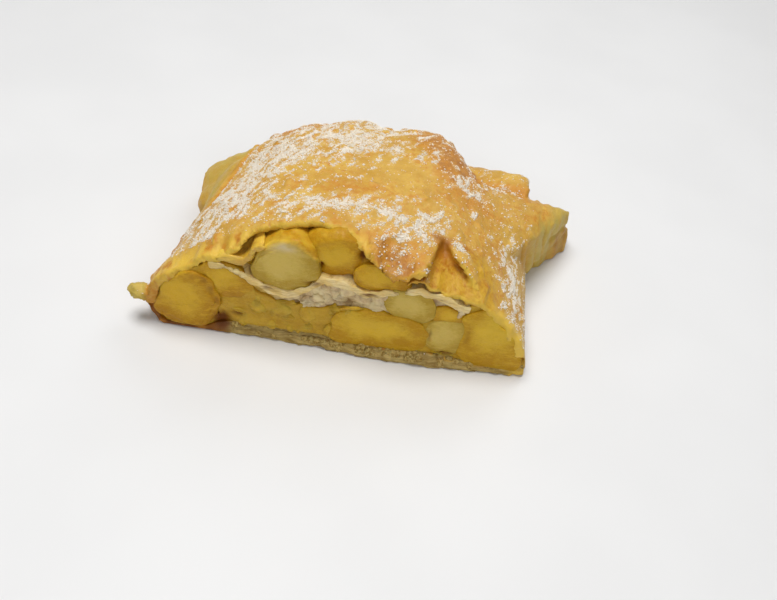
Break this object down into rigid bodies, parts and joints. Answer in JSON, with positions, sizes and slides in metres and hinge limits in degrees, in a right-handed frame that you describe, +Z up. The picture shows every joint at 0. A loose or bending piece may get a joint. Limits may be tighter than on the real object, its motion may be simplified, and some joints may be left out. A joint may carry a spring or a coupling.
{
  "type": "apple strudel",
  "caption": "End piece of a rolled fruit pastry, cut straight across so that the layered filling shows, with a gathered closed end.",
  "frame": {"origin": "middle of the bounding box, on the plane of the underside", "axes": "+X along the cut, to the right for someone who faces the cut; +Y from the cut towards the closed end; +Z up"},
  "size_m": [0.1488, 0.1034, 0.0465],
  "materials": {
    "pastry": "satin",
    "dough": "satin",
    "filling": "moist",
    "cream": "satin",
    "fruit": "moist"
  },
  "bodies": {
    "root": {"crust": "pastry", "inner_sheet_low": "dough", "inner_sheet_high": "dough", "upper_filling": "filling", "cream_layer": "cream", "lower_filling": "filling", "apple_chunk_1": "fruit", "apple_chunk_2": "fruit", "apple_chunk_3": "fruit", "apple_chunk_4": "fruit", "apple_chunk_5": "fruit", "apple_chunk_6": "fruit", "apple_chunk_7": "fruit", "apple_chunk_8": "fruit", "apple_chunk_9": "fruit", "apple_chunk_10": "fruit"}
  },
  "joints": []
}
